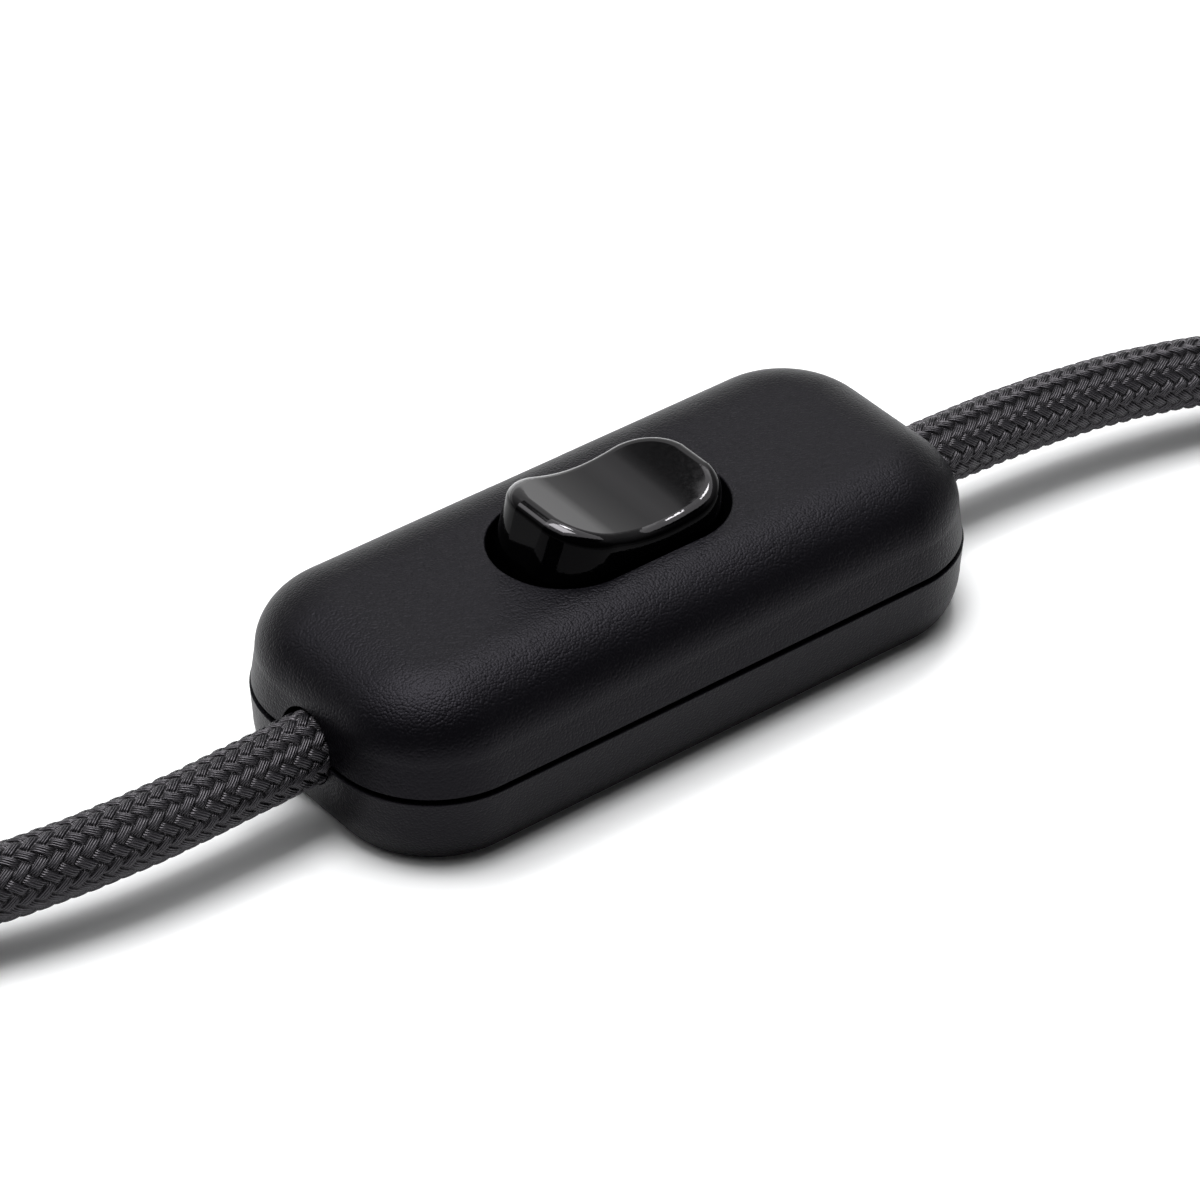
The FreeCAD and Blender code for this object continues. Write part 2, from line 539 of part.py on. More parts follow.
save("core_blue_right", tube("core_blue_right", [
    (22.9, -1.3, 7.5), (21.6, -1.3, 7.5), (20.5, -2.1, 7.35), (20.0, -3.9, 7.0), (19.9, -6.2, 6.5),
    (19.4, -8.3, 6.0), (18.2, -9.7, 5.72), (16.6, -9.7, 5.72)], CORE_R))
save("stripped_ends", [rod_x(COPPER_R, -16.35, -12.0, 0, 6.05), rod_x(COPPER_R, 11.8, 16.15, 0, 6.05),
                       rod_x(COPPER_R, 3.65, 8.8, NEUT_Y, 5.72), rod_x(COPPER_R, 11.4, 16.55, NEUT_Y, 5.72)])

# --------------------------------------------------------------------- cords
def hank(cx, cy, r_in, r_out, z0, z1):
    out = Part.Face(stadium(HANK_S / 2 + r_out, r_out, 0, 0))
    hole = Part.Face(stadium(HANK_S / 2 + r_in, r_in, 0, 0))
    s = out.cut(hole).extrude(V(0, 0, z1 - z0))
    s.translate(V(cx, cy, z0))
    flat = [e for e in s.Edges if e.BoundBox.ZLength < 1e-3]
    return s.makeFillet(2.0, flat)


save("cord_left", tube("cord_left", ROUTE_LEFT, CORD_R))
save("hank_left", hank(HA_X, HA_Y, HANK_RI - CORD_R - 0.1, HANK_RO + CORD_R + 0.1, LIFT, LIFT + 19.6))
save("cord_left_tail", tube("cord_left_tail", ROUTE_LEFT_TAIL, CORD_R))
save("cord_right", tube("cord_right", ROUTE_RIGHT, CORD_R))
save("hank_right", hank(HB_X, HB_Y, HB_R - CORD_R - 0.1, HB_R + CORD_R + 0.1, LIFT, LIFT + 6.55))
save("cord_right_tail", tube("cord_right_tail", ROUTE_RIGHT_TAIL, CORD_R))


def tie(x, y, half_w, z1, width):
    """A tape band round both runs of a hank."""
    o = box(x - width / 2, x + width / 2, y - half_w - TAPE, y + half_w + TAPE, 0.0, z1 + TAPE)
    o = o.makeFillet(2.0, [e for e in o.Edges if e.BoundBox.XLength > width * 0.9])
    i = box(x - width, x + width, y - half_w, y + half_w, TAPE, z1)
    i = i.makeFillet(1.4, [e for e in i.Edges if e.BoundBox.XLength > width * 1.9])
    return o.cut(i)


save("tie_left", tie(HA_X - 16.0, HA_Y, HANK_RO + CORD_R + 0.16, LIFT + 19.65, 12.0))
save("tie_right", tie(HB_X + 17.8, HB_Y, HB_R + CORD_R + 0.16, LIFT + 6.6, 9.0))

# ---------------------------------------------------------------------- plug
PX = HA_X + 17.5          # mouth of the strain relief
PY = HA_Y + 20.0
relief = Part.makeCone(3.9, 5.6, 22.0, V(PX, PY, PLUG_Z), V(-1, 0, 0))
for i in range(5):
    x = PX - 3.4 - 3.4 * i
    r = 3.9 + 1.7 * (PX - x) / 22.0
    groove = Part.makeCylinder(r + 1, 1.1, V(x, PY, PLUG_Z), V(-1, 0, 0)).cut(
        Part.makeCylinder(r - 0.45, 1.1, V(x, PY, PLUG_Z), V(-1, 0, 0)))
    relief = relief.cut(groove)
relief = relief.cut(Part.makeCylinder(CORD_R + 0.05, 7.0, V(PX + 1, PY, PLUG_Z), V(-1, 0, 0)))
save("plug_strain_relief", relief)

BX = PX - 22.05           # back of the plug body
outline = [(BX, -6.8), (BX - 6, -9.5), (BX - 17, -16.9), (BX - 37.5, -17.6), (BX - 37.5, 17.6),
           (BX - 17, 16.9), (BX - 6, 9.5), (BX, 6.8)]
poly = Part.makePolygon([V(x, y, 0) for x, y in outline] + [V(outline[0][0], outline[0][1], 0)])
plug = Part.Face(poly).extrude(V(0, 0, PLUG_T))
plug.translate(V(0, PY, PLUG_Z - PLUG_T / 2))
vertical = [e for e in plug.Edges if e.BoundBox.ZLength > PLUG_T * 0.9]
plug = plug.makeFillet(3.0, vertical)
flat = [e for e in plug.Edges if e.BoundBox.ZLength < 1e-3]
try:
    p2 = plug.makeFillet(2.6, flat)
    if p2.isValid():
        plug = p2
except Exception as err:
    print("plug edges left sharp:", err)
FX = BX - 37.5            # front face of the plug
for sy in (-1, 1):
    plug = plug.cut(rod_x(1.85, FX - 1, FX + 9, PY + sy * 9.5, PLUG_Z))
save("plug_body", plug)
pins, sleeves = [], []
for sy in (-1, 1):
    y = PY + sy * 9.5
    p = fuse([rod_x(1.5, FX - 10.0, FX + 8.9, y, PLUG_Z), rod_x(2.0, FX - 19.0, FX - 10.0, y, PLUG_Z)])
    tip = [e for e in p.Edges if abs(e.BoundBox.XMin - (FX - 19.0)) < 1e-4 and abs(e.BoundBox.XMax - (FX - 19.0)) < 1e-4]
    pins.append(p.makeFillet(1.2, tip).Solids[0])
    sl = rod_x(1.8, FX - 9.95, FX + 8.9, y, PLUG_Z).cut(rod_x(1.52, FX - 12, FX + 10, y, PLUG_Z))
    sleeves.append(sl.Solids[0])
save("plug_pins", pins)
save("pin_sleeves", sleeves)

# --------------------------------------------------------------- lamp end
EX = HB_X - 13.95
EY = HB_Y - 19.7
EZ = 11.05
sleeve = Part.makeCylinder(CORD_R + 0.45, 9.0, V(EX - 6.5, EY, EZ), V(1, 0, 0))
sleeve = sleeve.cut(Part.makeCylinder(CORD_R + 0.05, 6.5, V(EX - 6.6, EY, EZ), V(1, 0, 0)))
sleeve = sleeve.makeFillet(0.35, [e for e in sleeve.Edges if abs(e.BoundBox.XMin - (EX + 2.5)) < 1e-4 and abs(e.BoundBox.XMax - (EX + 2.5)) < 1e-4])
save("end_sleeve", sleeve)
E0 = EX + 2.6
core_a = [(E0, EY + 1.3, EZ), (E0 + 3.0, EY + 1.3, EZ), (E0 + 7.0, EY + 1.7, 10.3), (E0 + 11.0, EY + 2.1, 9.4), (E0 + 14.5, EY + 2.4, 9.15)]
core_b = [(E0, EY - 1.3, EZ), (E0 + 2.8, EY - 1.3, EZ), (E0 + 6.6, EY - 1.45, 10.35), (E0 + 10.6, EY - 1.3, 9.42), (E0 + 14.0, EY - 1.6, 9.17)]
save("end_core_brown", tube("end_core_brown", core_a, CORE_R))
save("end_core_blue", tube("end_core_blue", core_b, CORE_R))


def ferrule(p, q):
    a, b = V(*p), V(*q)
    d = b.sub(a).normalize()
    start = b.add(d * 0.03)
    return fuse([Part.makeCone(1.45, 0.85, 2.2, start, d), Part.makeCylinder(0.85, 8.0, start, d)])


save("end_ferrules", [ferrule(core_a[-2], core_a[-1]), ferrule(core_b[-2], core_b[-1])])

for k, (radii, length) in RADII.items():
    if k.startswith("cord"):
        print(k, "radii", " ".join("%.0f" % r for r in radii), "length %.1f" % length)
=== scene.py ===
import math

import bpy
import numpy as np
from mathutils import Matrix, Vector


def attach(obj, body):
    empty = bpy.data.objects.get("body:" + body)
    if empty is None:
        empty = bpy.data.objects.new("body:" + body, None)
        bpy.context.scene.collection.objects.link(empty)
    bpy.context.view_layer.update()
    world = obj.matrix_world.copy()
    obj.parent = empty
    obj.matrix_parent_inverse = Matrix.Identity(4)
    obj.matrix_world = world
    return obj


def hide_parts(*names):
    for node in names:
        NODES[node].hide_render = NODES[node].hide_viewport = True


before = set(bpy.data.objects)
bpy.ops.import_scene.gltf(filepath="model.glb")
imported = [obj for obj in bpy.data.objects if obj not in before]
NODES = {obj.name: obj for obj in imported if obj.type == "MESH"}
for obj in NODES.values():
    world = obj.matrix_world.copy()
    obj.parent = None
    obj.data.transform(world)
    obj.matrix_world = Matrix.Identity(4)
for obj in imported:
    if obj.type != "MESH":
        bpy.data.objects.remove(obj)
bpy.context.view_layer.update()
MM = 0.001

# ------------------------------------------------------------------- camera
AZ, EL, ROLL = math.radians(-38.514), math.radians(36.863), math.radians(0.387)
back = Vector((math.sin(AZ) * math.cos(EL), -math.cos(AZ) * math.cos(EL), math.sin(EL)))
right = Vector((math.cos(AZ), math.sin(AZ), 0.0))
up = back.cross(right)
cam_x = right * math.cos(ROLL) + up * math.sin(ROLL)
cam_y = up * math.cos(ROLL) - right * math.sin(ROLL)
target = Vector((0.0, 0.0, 16.743 / 2)) + cam_x * -1.151 + cam_y * -0.54
place = (target + back * 495.105) * MM
cam_data = bpy.data.cameras.new("camera")
cam_data.sensor_width = 36.0
cam_data.lens = 5535.527 / 1200.0 * 36.0
cam_data.clip_start = 0.01
cam_data.clip_end = 60.0
camera = bpy.data.objects.new("camera", cam_data)
bpy.context.scene.collection.objects.link(camera)
rot = Matrix((cam_x, cam_y, back)).transposed()
camera.matrix_world = Matrix.Translation(place) @ rot.to_4x4()
bpy.context.scene.camera = camera
bpy.context.scene.view_settings.view_transform = "Standard"

# -------------------------------------------------------------- cord routes
CORD_R = 3.25
HANK_S = 45.0
R_IN, R_OUT = 19.5, 26.0
HA_X, HA_Y = -138.0, -16.0
HB_X, HB_Y = 134.5, 0.5
LAYER = (3.9, 10.4, 16.9)

ROUTE_LEFT = [
    (-23.0, 0.0, 7.5), (-31.0, -0.12, 7.54), (-41.0, -0.5, 7.46), (-52.0, -0.32, 7.1),
    (-63.0, 1.45, 6.48), (-75.5, 5.4, 5.5), (-90.0, 10.8, 4.5), (-104.5, 14.6, 4.02),
    (-118.5, 14.9, 3.92), (-132.5, 12.1, 3.9), (-145.0, 10.4, 3.94),
]
ROUTE_RIGHT = [
    (23.0, 0.0, 7.5), (31.0, -0.06, 7.53), (41.0, -0.22, 7.46), (52.0, -1.05, 7.26),
    (63.0, -3.05, 6.9), (75.5, -7.0, 5.8), (90.0, -12.7, 4.6), (104.0, -17.1, 4.02),
    (117.5, -19.2, 3.91), (130.0, -19.1, 3.9),
]
ROUTE_LEFT_TAIL = [
    (HA_X + 13.0, HA_Y - 19.8, 17.0), (HA_X + 23.0, HA_Y - 20.3, 17.6),
    (HA_X + 33.2, HA_Y - 17.4, 18.9), (HA_X + 40.8, HA_Y - 10.4, 20.6),
    (HA_X + 43.7, HA_Y - 0.2, 22.6), (HA_X + 41.0, HA_Y + 10.2, 24.7),
    (HA_X + 33.4, HA_Y + 17.6, 26.5), (HA_X + 23.0, HA_Y + 20.3, 27.6),
    (HA_X + 13.5, HA_Y + 20.0, 27.9),
]
ROUTE_RIGHT_TAIL = [
    (HB_X - 12.0, HB_Y + 19.8, 3.95), (HB_X - 23.0, HB_Y + 20.2, 4.7),
    (HB_X - 33.2, HB_Y + 17.4, 6.4), (HB_X - 40.6, HB_Y + 10.4, 8.6),
    (HB_X - 43.5, HB_Y + 0.2, 10.6), (HB_X - 40.8, HB_Y - 10.2, 11.9),
    (HB_X - 33.2, HB_Y - 17.4, 12.0), (HB_X - 23.0, HB_Y - 20.0, 11.3),
    (HB_X - 14.0, HB_Y - 19.7, 11.05),
]


def smooth(t):
    t = min(max(t, 0.0), 1.0)
    return t * t * (3 - 2 * t)


def winding():
    """Control points of the turns of the plug side's hank, 18 to a turn.

    Slots are (radius, layer). Each turn moves to the next slot while it goes round the
    loop next to the object, the last turn first, so that each has left its place."""
    slots = [(R_OUT, 0), (R_IN, 0), (R_IN, 1), (R_OUT, 1), (R_OUT, 2), (R_IN, 2)]
    lead = [66.0, 55.0, 44.0, 33.0, 22.0]
    turn_len = math.pi * (R_IN + R_OUT) / 2

    def at(k, u):
        """Radius and height of turn k, u mm from the start of the loop next to the object."""
        if k < 0:
            return slots[0][0], LAYER[slots[0][1]]
        a, b = slots[k], slots[min(k + 1, 5)]
        w = smooth((u - lead[k]) / 38.0) if k < 5 else 0.0
        za, zb = LAYER[a[1]], LAYER[b[1]]
        return a[0] + (b[0] - a[0]) * w, za + (zb - za) * w

    pts = [(HA_X - 18.5, HA_Y + R_OUT, LAYER[0])]
    k = 0
    while True:
        r, z = at(k, -1.0)
        for a in (105, 135, 165, 195, 225, 255):
            rc = r / math.cos(math.radians(15))
            pts.append((HA_X - HANK_S / 2 + rc * math.cos(math.radians(a)), HA_Y + rc * math.sin(math.radians(a)), z))
        if k == 5:
            pts.append((HA_X - 14.0, HA_Y - r, z))
            pts.append((HA_X - 0.5, HA_Y - r, z))
            return pts
        for x in (-15.0, 0.0, 15.0):
            pts.append((HA_X + x, HA_Y - r, z))
        for a in (-75, -45, -15, 15, 45, 75):
            rr, zz = at(k, (a + 90.0) / 180.0 * turn_len)
            rc = rr / math.cos(math.radians(15))
            pts.append((HA_X + HANK_S / 2 + rc * math.cos(math.radians(a)), HA_Y + rc * math.sin(math.radians(a)), zz))
        for x in (15.0, 0.0, -15.0):
            rr, zz = at(k, turn_len + HANK_S / 2 - x)
            pts.append((HA_X + x, HA_Y + rr, zz))
        k += 1


def half_turn():
    """Control points of the loop at the far end of the lamp side's hank."""
    r, z = R_IN, LAYER[0]
    pts = [(HB_X + 6.0, HB_Y - r, z), (HB_X + 17.0, HB_Y - r, z)]
    rc = r / math.cos(math.radians(15))
    for a in (-75, -45, -15, 15, 45, 75):
        pts.append((HB_X + HANK_S / 2 + rc * math.cos(math.radians(a)), HB_Y + rc * math.sin(math.radians(a)), z))
    pts += [(HB_X + 15.0, HB_Y + r, z), (HB_X + 1.5, HB_Y + r, z)]
    return pts


def line_of(name, points):
    """The points that a cord follows, read from one NURBS spline through its route."""
    curve = bpy.data.curves.new(name, "CURVE")
    curve.dimensions = "3D"
    spline = curve.splines.new("NURBS")
    spline.points.add(len(points) - 1)
    for p, q in zip(spline.points, points):
        p.co = (q[0] * MM, q[1] * MM, q[2] * MM, 1.0)
    spline.order_u = 3
    spline.use_endpoint_u = True
    curve.resolution_u = 20
    ob = bpy.data.objects.new(name, curve)
    bpy.context.scene.collection.objects.link(ob)
    mesh = bpy.data.meshes.new_from_object(ob)
    co = np.array([v.co for v in mesh.vertices], float) / MM
    bpy.data.objects.remove(ob)
    bpy.data.meshes.remove(mesh)
    bpy.data.curves.remove(curve)
    keep = np.r_[True, np.linalg.norm(np.diff(co, axis=0), axis=1) > 1e-5]
    return co[keep]


LINE_LEFT = line_of("route_left", ROUTE_LEFT + winding() + ROUTE_LEFT_TAIL)
LINE_RIGHT = line_of("route_right", ROUTE_RIGHT + half_turn() + ROUTE_RIGHT_TAIL)


# ----------------------------------------------------------- braided tube mesh
PICKS = 16          # columns of picks round the cord
STRANDS = 4


def braid(X, Y):
    """Height of the braid, 0 to 1, and the strand coordinate, at lattice place X, Y."""
    a, b = (X - Y) / 2, (X + Y) / 2
    i, j = np.floor(a + 0.5), np.floor(b + 0.5)
    cm = np.mod(i + j, 4)
    is_s = cm < 1.5
    k = np.mod(cm, 2)
    w = np.where(is_s, a - i, b - j)
    t = np.where(is_s, b - j, a - i) - 0.5 + k
    across = np.clip(1 - (2 * np.abs(w)) ** 3.6, 0, 1)
    along = np.clip(1 - np.abs(t) ** 3.6, 0, 1)
    h = across ** 0.6 * along ** 0.7
    q = w * STRANDS
    f = q - np.floor(q)
    strand = 1 - (2 * f - 1) ** 2
    return h, strand, i, j, is_s


def cord_mesh(name, line, fine_from, fine_to, fine_step, n_fine, coarse_step, n_coarse, pitch, phase_s, phase_t, twist_up):
    seg = np.linalg.norm(np.diff(line, axis=0), axis=1)
    s_line = np.r_[0, np.cumsum(seg)]
    total = s_line[-1]

    def place_at(s):
        return np.stack([np.interp(s, s_line, line[:, k]) for k in range(3)], -1)

    # a frame carried along the line without twist
    grid = np.arange(0, total + 0.25, 0.5)
    grid[-1] = total
    P = place_at(grid)
    T = np.gradient(P, axis=0)
    T /= np.linalg.norm(T, axis=1)[:, None]
    for _ in range(3):
        T[1:-1] = (T[:-2] + 2 * T[1:-1] + T[2:]) / 4
        T /= np.linalg.norm(T, axis=1)[:, None]
    N = np.zeros_like(T)
    n = np.array(twist_up, float)
    for k in range(len(T)):
        n = n - T[k] * (n @ T[k])
        n /= np.linalg.norm(n)
        N[k] = n

    def frame_at(s):
        t = np.stack([np.interp(s, grid, T[:, k]) for k in range(3)], -1)
        t /= np.linalg.norm(t, axis=1)[:, None]
        v = np.stack([np.interp(s, grid, N[:, k]) for k in range(3)], -1)
        v -= t * (v * t).sum(1)[:, None]
        v /= np.linalg.norm(v, axis=1)[:, None]
        return t, v, np.cross(t, v)

    verts, faces, uvs, fine_mask = [], [], [], []

    def piece(s_values, n_around, displaced, cap_start, cap_end):
        base = sum(len(v) for v in verts)
        m = len(s_values)
        c = place_at(s_values)
        t, v, b = frame_at(s_values)
        th = np.arange(n_around) / n_around * 2 * np.pi
        X = th[None, :] * PICKS / np.pi + phase_t
        Y = (s_values[:, None] - phase_s) * 2 / pitch
        if displaced:
            h, strand, i, j, is_s = braid(X + 0 * Y, Y + 0 * X)
            key = np.where(is_s, i * 7.13 + np.floor((j + i) / 4) * 3.7, j * 5.91 + np.floor((i + j) / 4) * 2.3)
            key = np.mod(np.sin(key * 12.9898) * 43758.5453, 1.0)
            r = CORD_R + 0.12 - 0.34 * (1 - h) - 0.06 * key + 0.05 * (strand - 1) * h
        else:
            r = np.full((m, n_around), CORD_R)
        d = np.cos(th)[None, :, None] * v[:, None, :] + np.sin(th)[None, :, None] * b[:, None, :]
        pts = c[:, None, :] + r[:, :, None] * d
        verts.append(pts.reshape(-1, 3))
        fine_mask.append(np.full(m * n_around, 1.0 if displaced else 0.0))
        a = np.arange(m - 1)[:, None] * n_around
        q = np.arange(n_around)[None, :]
        q2 = (q + 1) % n_around
        f = np.stack([a + q, a + q2, a + n_around + q2, a + n_around + q], -1).reshape(-1, 4) + base
        faces.append(f)
        us = (s_values - phase_s) * 2 / pitch
        u0 = np.broadcast_to(us[:-1, None], (m - 1, n_around))
        u1 = np.broadcast_to(us[1:, None], (m - 1, n_around))
        dv = 2.0 * PICKS / n_around
        v0 = np.broadcast_to((np.arange(n_around) * dv + phase_t)[None, :], (m - 1, n_around))
        v1 = v0 + dv
        uv = np.stack([np.stack([u0, v0], -1), np.stack([u0, v1], -1), np.stack([u1, v1], -1), np.stack([u1, v0], -1)], 2)
        uvs.append(uv.reshape(-1, 2))
        return base, m

    ends = []
    pieces = []
    if fine_from > 0:
        pieces.append((0.0, fine_from, False))
    pieces.append((fine_from, fine_to, True))
    pieces.append((fine_to, total, False))
    for s0, s1, fine in pieces:
        step = fine_step if fine else coarse_step
        m = max(2, int(round((s1 - s0) / step)) + 1)
        s_values = np.linspace(s0, s1, m)
        ends.append((*piece(s_values, n_fine if fine else n_coarse, fine, False, False), n_fine if fine else n_coarse))
    V = np.concatenate(verts) * MM
    quads = np.concatenate(faces)
    UV = np.concatenate(uvs)
    me = bpy.data.meshes.new(name)
    n_v, n_q = len(V), len(quads)
    caps = [list(range(ends[0][0] + ends[0][2] - 1, ends[0][0] - 1, -1)),
            list(range(ends[-1][0] + (ends[-1][1] - 1) * ends[-1][2], ends[-1][0] + ends[-1][1] * ends[-1][2]))]
    loops = np.concatenate([quads.ravel(), np.array(caps[0]), np.array(caps[1])])
    starts = np.concatenate([np.arange(n_q) * 4, [n_q * 4, n_q * 4 + len(caps[0])]])
    me.vertices.add(n_v)
    me.vertices.foreach_set("co", V.astype(np.float32).ravel())
    me.loops.add(len(loops))
    me.loops.foreach_set("vertex_index", loops.astype(np.int32))
    me.polygons.add(n_q + 2)
    me.polygons.foreach_set("loop_start", starts.astype(np.int32))
    me.update(calc_edges=True)
    layer = me.uv_layers.new(name="UVMap")
    cap_uv = np.zeros((len(caps[0]) + len(caps[1]), 2))
    cap_uv[:, 1] = 0.25
    layer.data.foreach_set("uv", np.concatenate([UV, cap_uv]).astype(np.float32).ravel())
    attr = me.attributes.new("fine", "FLOAT", "POINT")
    attr.data.foreach_set("value", np.concatenate(fine_mask).astype(np.float32))
    flags = np.ones(n_q + 2, bool)
    flags[-2:] = False
    me.polygons.foreach_set("use_smooth", flags)
    me.validate()
    me.update()
    ob = bpy.data.objects.new(name, me)
    bpy.context.scene.collection.objects.link(ob)
    return ob, float(total)


cord_left, LEFT_LEN = cord_mesh("cord_plug_side", LINE_LEFT, 9.5, 49.0, 0.104, 192, 1.7, 16, 1.52, 11.47, 2.32, (0, 0, 1))
cord_right, RIGHT_LEN = cord_mesh("cord_lamp_side", LINE_RIGHT, 9.5, 49.0, 0.104, 192, 1.2, 20, 1.46, 11.0, -0.17, (0, 0, 1))
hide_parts("cord_left", "hank_left", "cord_left_tail")
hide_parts("cord_right", "hank_right", "cord_right_tail")
for piece in (cord_left, cord_right):
    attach(piece, "root")


# ------------------------------------------------------------ material helpers
class Tree:
    """Short calls for building a node tree."""

    def __init__(self, name):
        self.mat = bpy.data.materials.new(name)
        self.mat.use_nodes = True
        self.t = self.mat.node_tree
        self.t.nodes.clear()
        self.out = self.t.nodes.new("ShaderNodeOutputMaterial")
        self.shader = self.t.nodes.new("ShaderNodeBsdfPrincipled")
        self.t.links.new(self.shader.outputs["BSDF"], self.out.inputs["Surface"])

    def link(self, a, b):
        self.t.links.new(a, b)

    def put(self, socket, value):
        if isinstance(value, bpy.types.NodeSocket):
            self.t.links.new(value, socket)
        else:
            socket.default_value = value

    def m(self, op, a, b=None, c=None, clamp=False):
        n = self.t.nodes.new("ShaderNodeMath")
        n.operation = op
        n.use_clamp = clamp
        for s, v in zip(n.inputs, (a, b, c)):
            if v is not None:
                self.put(s, v)
        return n.outputs[0]

    def coords(self, kind="Object"):
        return self.t.nodes.new("ShaderNodeTexCoord").outputs[kind]

    def uv(self):
        n = self.t.nodes.new("ShaderNodeUVMap")
        n.uv_map = "UVMap"
        return n.outputs[0]

    def split(self, v):
        n = self.t.nodes.new("ShaderNodeSeparateXYZ")
        self.put(n.inputs[0], v)
        return n.outputs

    def join(self, x, y, z=0.0):
        n = self.t.nodes.new("ShaderNodeCombineXYZ")
        for s, v in zip(n.inputs, (x, y, z)):
            self.put(s, v)
        return n.outputs[0]

    def noise(self, vector, scale, detail=2.0, rough=0.5, distortion=0.0):
        n = self.t.nodes.new("ShaderNodeTexNoise")
        self.put(n.inputs["Vector"], vector)
        n.inputs["Scale"].default_value = scale
        n.inputs["Detail"].default_value = detail
        n.inputs["Roughness"].default_value = rough
        n.inputs["Distortion"].default_value = distortion
        return n.outputs["Fac"] if "Fac" in n.outputs else n.outputs[0]

    def voronoi(self, vector, scale, feature="F1", out="Distance", smoothness=None, randomness=1.0):
        n = self.t.nodes.new("ShaderNodeTexVoronoi")
        n.feature = feature
        self.put(n.inputs["Vector"], vector)
        n.inputs["Scale"].default_value = scale
        n.inputs["Randomness"].default_value = randomness
        if smoothness is not None and "Smoothness" in n.inputs:
            n.inputs["Smoothness"].default_value = smoothness
        return n.outputs[out]

    def ramp(self, fac, stops, interpolation="LINEAR"):
        n = self.t.nodes.new("ShaderNodeValToRGB")
        self.put(n.inputs[0], fac)
        r = n.color_ramp
        r.interpolation = interpolation
        while len(r.elements) > 1:
            r.elements.remove(r.elements[-1])
        r.elements[0].position = stops[0][0]
        r.elements[0].color = (*stops[0][1], 1.0)
        for p, c in stops[1:]:
            e = r.elements.new(p)
            e.color = (*c, 1.0)
        return n.outputs[0]

    def map(self, v, a, b, c, d, clamp=True):
        n = self.t.nodes.new("ShaderNodeMapRange")
        n.clamp = clamp
        self.put(n.inputs[0], v)
        for s, x in zip(list(n.inputs)[1:5], (a, b, c, d)):
            s.default_value = x
        return n.outputs[0]

    def bump(self, height, strength, distance, normal=None):
        n = self.t.nodes.new("ShaderNodeBump")
        n.inputs["Strength"].default_value = strength
        n.inputs["Distance"].default_value = distance
        self.put(n.inputs["Height"], height)
        if normal is not None:
            self.put(n.inputs["Normal"], normal)
        return n.outputs[0]

    def soften(self, radius, samples=4):
        """Normal rounded over sharp edges, for moulded edges that catch the light."""
        n = self.t.nodes.new("ShaderNodeBevel")
        n.samples = samples
        n.inputs["Radius"].default_value = radius
        return n.outputs[0]

    def set(self, **kw):
        names = {"color": "Base Color", "rough": "Roughness", "metal": "Metallic", "normal": "Normal",
                 "ior": "IOR", "spec": "Specular IOR Level", "sheen": "Sheen Weight",
                 "sheen_rough": "Sheen Roughness", "sheen_tint": "Sheen Tint", "spec_tint": "Specular Tint", "coat": "Coat Weight",
                 "coat_rough": "Coat Roughness", "aniso": "Anisotropic"}
        for k, v in kw.items():
            s = self.shader.inputs[names[k]]
            if isinstance(v, tuple) and len(v) == 3:
                v = (*v, 1.0)
            self.put(s, v)
        return self.mat


def dress(obj, mat):
    obj.data.materials.clear()
    obj.data.materials.append(mat)


def wear(names, mat):
    """Gives CAD nodes their finish, in the slots that they have."""
    for n in names:
        o = NODES[n]
        if not o.material_slots:
            o.data.materials.append(mat)
        for s in o.material_slots:
            s.material = mat


# ------------------------------------------------------------------ materials
def moulded(name, color, rough, grain, depth, tone=0.12, spec=0.5, tint=(1.0, 1.0, 1.0), edge=0.0001):
    t = Tree(name)
    co = t.coords()
    cells = t.voronoi(co, grain, "F1", randomness=0.9)
    cells = t.m("SUBTRACT", 1.0, t.m("MULTIPLY", cells, cells))
    fine = t.noise(co, grain * 2.3, 0.0, 0.5)
    broad = t.noise(co, 45.0, 3.0, 0.55)
    height = t.m("ADD", t.m("MULTIPLY", cells, 1.0), t.m("MULTIPLY", fine, 0.25))
    lo = tuple(c * (1 - tone) for c in color)
    hi = tuple(c * (1 + tone) for c in color)
    return t.set(color=t.ramp(broad, [(0.3, lo), (0.7, hi)]),
                 rough=t.map(t.m("ADD", broad, t.m("MULTIPLY", fine, 0.4)), 0.4, 1.0, rough - 0.02, rough + 0.05),
                 normal=t.bump(height, 1.0, depth, t.soften(edge)), spec=spec, spec_tint=tint)


HOUSING = moulded("housing", (0.0013, 0.0012, 0.0019), 0.39, 4300.0, 0.000042, spec=0.12, tint=(0.90, 0.86, 1.0), edge=0.00012)


def polished(name, color, rough):
    t = Tree(name)
    co = t.coords()
    lie = t.m("ABSOLUTE", t.split(t.coords("Normal"))[2])
    wave = t.noise(co, 160.0, 1.0, 0.4)
    fine = t.noise(co, 2600.0, 2.0, 0.5)
    return t.set(color=t.ramp(wave, [(0.35, tuple(c * 0.85 for c in color)), (0.65, tuple(c * 1.15 for c in color))]),
                 rough=t.map(fine, 0.3, 0.7, rough * 0.75, rough * 1.25),
                 spec=t.map(lie, 0.58, 0.86, 0.04, 0.5), spec_tint=(0.98, 0.95, 1.0),
                 normal=t.bump(wave, 1.0, 0.000006, t.soften(0.00012, 6)))


ROCKER = polished("rocker", (0.0004, 0.0004, 0.0005), 0.05)


